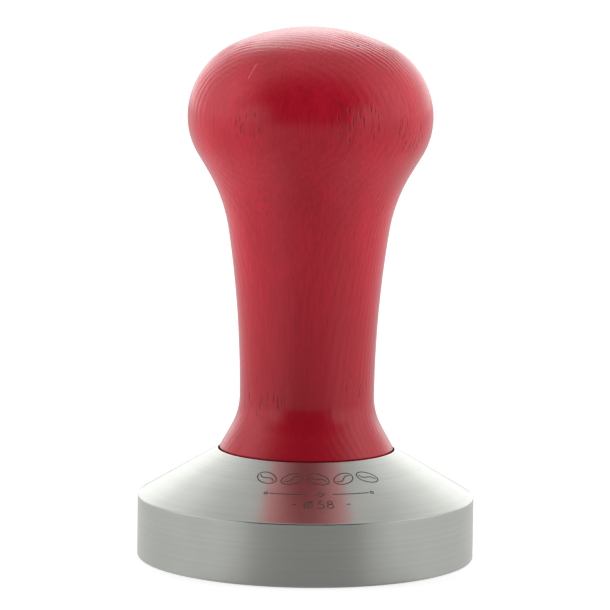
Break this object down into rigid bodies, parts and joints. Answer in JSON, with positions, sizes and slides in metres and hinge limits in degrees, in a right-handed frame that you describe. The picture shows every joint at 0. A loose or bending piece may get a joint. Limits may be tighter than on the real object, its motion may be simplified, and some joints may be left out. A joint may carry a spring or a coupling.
{
  "type": "espresso tamper",
  "caption": "Espresso tamper: a turned wooden knob handle screwed onto a round steel base with a conical top and a flat tamping face.",
  "frame": {"origin": "centre of the flat tamping face, which is also the centre of the bounding box's bottom", "axes": "+Z along the axis of the tamper, from the tamping face to the top of the knob. The size mark on the cone faces -Y"},
  "size_m": [0.058, 0.058, 0.0914],
  "materials": {
    "base_steel": "fine turned stainless steel, satin bright",
    "handle_wood": "open-grained hardwood with a red stain under satin lacquer",
    "insert_brass": "plain machined brass",
    "stud_steel": "plain stainless steel set screw",
    "washer_rubber": "black flat rubber"
  },
  "bodies": {
    "base": {"tamping_base": "base_steel"},
    "washer": {"foot_washer": "washer_rubber"},
    "handle": {"wooden_handle": "handle_wood", "threaded_insert": "insert_brass", "connecting_stud": "stud_steel"}
  },
  "joints": [
    {"name": "handle_lift", "type": "slide", "parent": "base", "child": "washer", "axis": [0, 0, 1], "range_m": [0, 0.00751]},
    {"name": "handle_turn", "type": "hinge", "parent": "washer", "child": "handle", "pos_m": [0, 0, 0.0174], "axis": [0, 0, 1], "range_deg": [0, 2160]}
  ],
  "couplings": [
    {"joint": "handle_lift", "follows": "handle_turn", "m_per_rad": 0.00019894}
  ]
}
